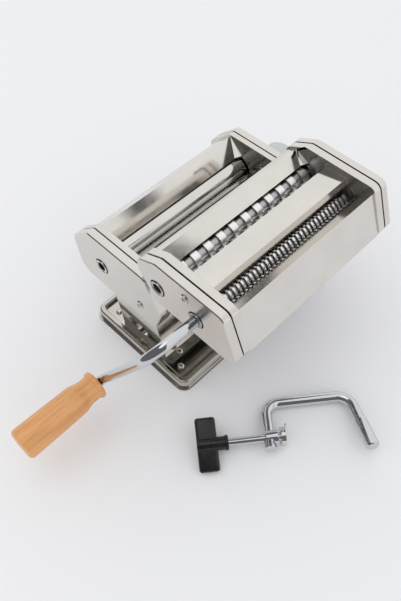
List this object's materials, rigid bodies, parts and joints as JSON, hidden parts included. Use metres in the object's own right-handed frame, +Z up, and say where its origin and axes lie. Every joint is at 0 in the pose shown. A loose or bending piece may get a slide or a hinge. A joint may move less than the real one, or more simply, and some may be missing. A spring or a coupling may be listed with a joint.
{
  "type": "pasta machine",
  "caption": "Table-top machine with smooth rollers that roll dough into sheets, a lift-off cutter head, a cranked handle, a gap knob and a separate table clamp.",
  "frame": {"origin": "centre of the tray's footprint on the table", "axes": "+X along the rollers towards the gap knob, +Y towards the rear hopper plate, +Z up"},
  "size_m": [0.3384, 0.2819, 0.1605],
  "materials": {
    "pressed_steel": "polished nickel plate on sheet steel",
    "roller_steel": "fine turned steel",
    "gear_steel": "plain machined steel",
    "bright_steel": "bright steel",
    "comb_steel": "thin spring steel",
    "bush_steel": "plated steel",
    "chrome": "polished chrome plate",
    "knob_metal": "satin turned aluminium",
    "black_plastic": "moulded black plastic",
    "beech": "varnished turned beech",
    "rubber": "moulded rubber"
  },
  "bodies": {
    "machine": {"base_tray": "pressed_steel", "base_feet": "rubber", "base_rivets": "bright_steel", "stand": "pressed_steel", "side_frame_left": "pressed_steel", "side_frame_right": "pressed_steel", "side_cover_left": "pressed_steel", "side_cover_right": "pressed_steel", "tie_rods": "gear_steel", "tie_rod_nuts": "bright_steel", "cover_studs": "gear_steel", "cover_screws": "bright_steel", "roller_bushes": "bush_steel", "index_plate": "bright_steel", "hopper_rear_plate": "pressed_steel", "hopper_front_plate": "pressed_steel", "hopper_wings": "pressed_steel", "rear_scraper": "comb_steel", "front_scraper": "comb_steel"},
    "rear_roller": {"rear_roller": "roller_steel", "rear_roller_gear": "gear_steel"},
    "gap_carriage": {"bearing_block_left": "bush_steel", "bearing_block_right": "bush_steel"},
    "front_roller": {"front_roller": "roller_steel", "front_roller_gear": "gear_steel"},
    "knob_spindle": {"knob_spindle": "gear_steel", "knob_spring": "bright_steel"},
    "knob": {"regulator_knob": "knob_metal", "knob_cap": "knob_metal"},
    "cutter_head": {"cutter_frame_left": "pressed_steel", "cutter_frame_right": "pressed_steel", "cutter_cover_left": "pressed_steel", "cutter_cover_right": "pressed_steel", "cutter_tie_rods": "gear_steel", "cutter_tie_rod_nuts": "bright_steel", "cutter_cover_studs": "gear_steel", "cutter_cover_screws": "bright_steel", "cutter_bushes": "bush_steel", "wide_combs": "comb_steel", "narrow_combs": "comb_steel", "cutter_rear_plate": "pressed_steel", "cutter_middle_plate": "pressed_steel", "cutter_front_panel": "pressed_steel", "cutter_wings": "pressed_steel", "cutter_hooks": "pressed_steel"},
    "wide_rear": {"wide_cutter_rear": "roller_steel", "wide_gear_rear": "gear_steel"},
    "wide_front": {"wide_cutter_front": "roller_steel", "wide_gear_front": "gear_steel"},
    "narrow_rear": {"narrow_cutter_rear": "roller_steel", "narrow_gear_rear": "gear_steel"},
    "narrow_front": {"narrow_cutter_front": "roller_steel", "narrow_gear_front": "gear_steel"},
    "crank": {"crank_rod": "chrome"},
    "grip": {"wooden_grip": "beech"},
    "clamp": {"clamp_rod": "chrome", "clamp_sleeve": "chrome"},
    "clamp_pad": {"clamp_pad": "bright_steel"},
    "clamp_screw": {"clamp_screw": "chrome", "wing_knob": "black_plastic"}
  },
  "joints": [
    {"name": "rear_roller_spin", "type": "hinge", "parent": "machine", "child": "rear_roller", "pos_m": [0, 0.0346, 0.0943], "axis": [1, 0, 0], "continuous": true},
    {"name": "gap_slide", "type": "slide", "parent": "machine", "child": "gap_carriage", "axis": [0, 1, 0], "range_m": [0, 0.0022]},
    {"name": "front_roller_spin", "type": "hinge", "parent": "gap_carriage", "child": "front_roller", "pos_m": [0, 0.0061, 0.0943], "axis": [1, 0, 0], "continuous": true},
    {"name": "knob_turn", "type": "hinge", "parent": "machine", "child": "knob_spindle", "pos_m": [0, 0.0061, 0.0943], "axis": [1, 0, 0], "range_deg": [0, 160]},
    {"name": "knob_pull", "type": "slide", "parent": "knob_spindle", "child": "knob", "axis": [1, 0, 0], "range_m": [0, 0.0038], "stiffness_N_per_m": 400, "springref_m": -0.01},
    {"name": "cutter_head_lift", "type": "slide", "parent": "machine", "child": "cutter_head", "axis": [0, 0.4699, 0.8827], "range_m": [0, 0.06]},
    {"name": "wide_cutter_spin", "type": "hinge", "parent": "cutter_head", "child": "wide_rear", "pos_m": [0, -0.0385, 0.1335], "axis": [1, 0, 0], "continuous": true},
    {"name": "wide_partner_spin", "type": "hinge", "parent": "cutter_head", "child": "wide_front", "pos_m": [0, -0.056, 0.1335], "axis": [1, 0, 0], "continuous": true},
    {"name": "narrow_cutter_spin", "type": "hinge", "parent": "cutter_head", "child": "narrow_rear", "pos_m": [0, -0.078, 0.1335], "axis": [1, 0, 0], "continuous": true},
    {"name": "narrow_partner_spin", "type": "hinge", "parent": "cutter_head", "child": "narrow_front", "pos_m": [0, -0.0945, 0.1335], "axis": [1, 0, 0], "continuous": true},
    {"name": "crank_pull", "type": "slide", "parent": "narrow_rear", "child": "crank", "axis": [-1, 0, 0], "range_m": [0, 0.02]},
    {"name": "grip_spin", "type": "hinge", "parent": "crank", "child": "grip", "pos_m": [-0.18, -0.02085, 0.04482], "axis": [1, 0, 0], "continuous": true},
    {"name": "clamp_lift", "type": "slide", "parent": "machine", "child": "clamp", "axis": [0, 0, 1], "range_m": [0, 0.05]},
    {"name": "pad_travel", "type": "slide", "parent": "clamp", "child": "clamp_pad", "axis": [0.7804, -0.6252, 0], "range_m": [0, 0.012]},
    {"name": "screw_turn", "type": "hinge", "parent": "clamp_pad", "child": "clamp_screw", "pos_m": [-0.07864, -0.14043, 0.01026], "axis": [0.7804, -0.6252, 0], "range_deg": [0, 2880]}
  ],
  "couplings": [
    {"joint": "knob_turn", "follows": "gap_slide", "rad_per_m": 1269.3},
    {"joint": "front_roller_spin", "follows": "rear_roller_spin", "ratio": -1},
    {"joint": "wide_partner_spin", "follows": "wide_cutter_spin", "ratio": -1},
    {"joint": "narrow_partner_spin", "follows": "narrow_cutter_spin", "ratio": -1},
    {"joint": "pad_travel", "follows": "screw_turn", "m_per_rad": 0.000238}
  ]
}
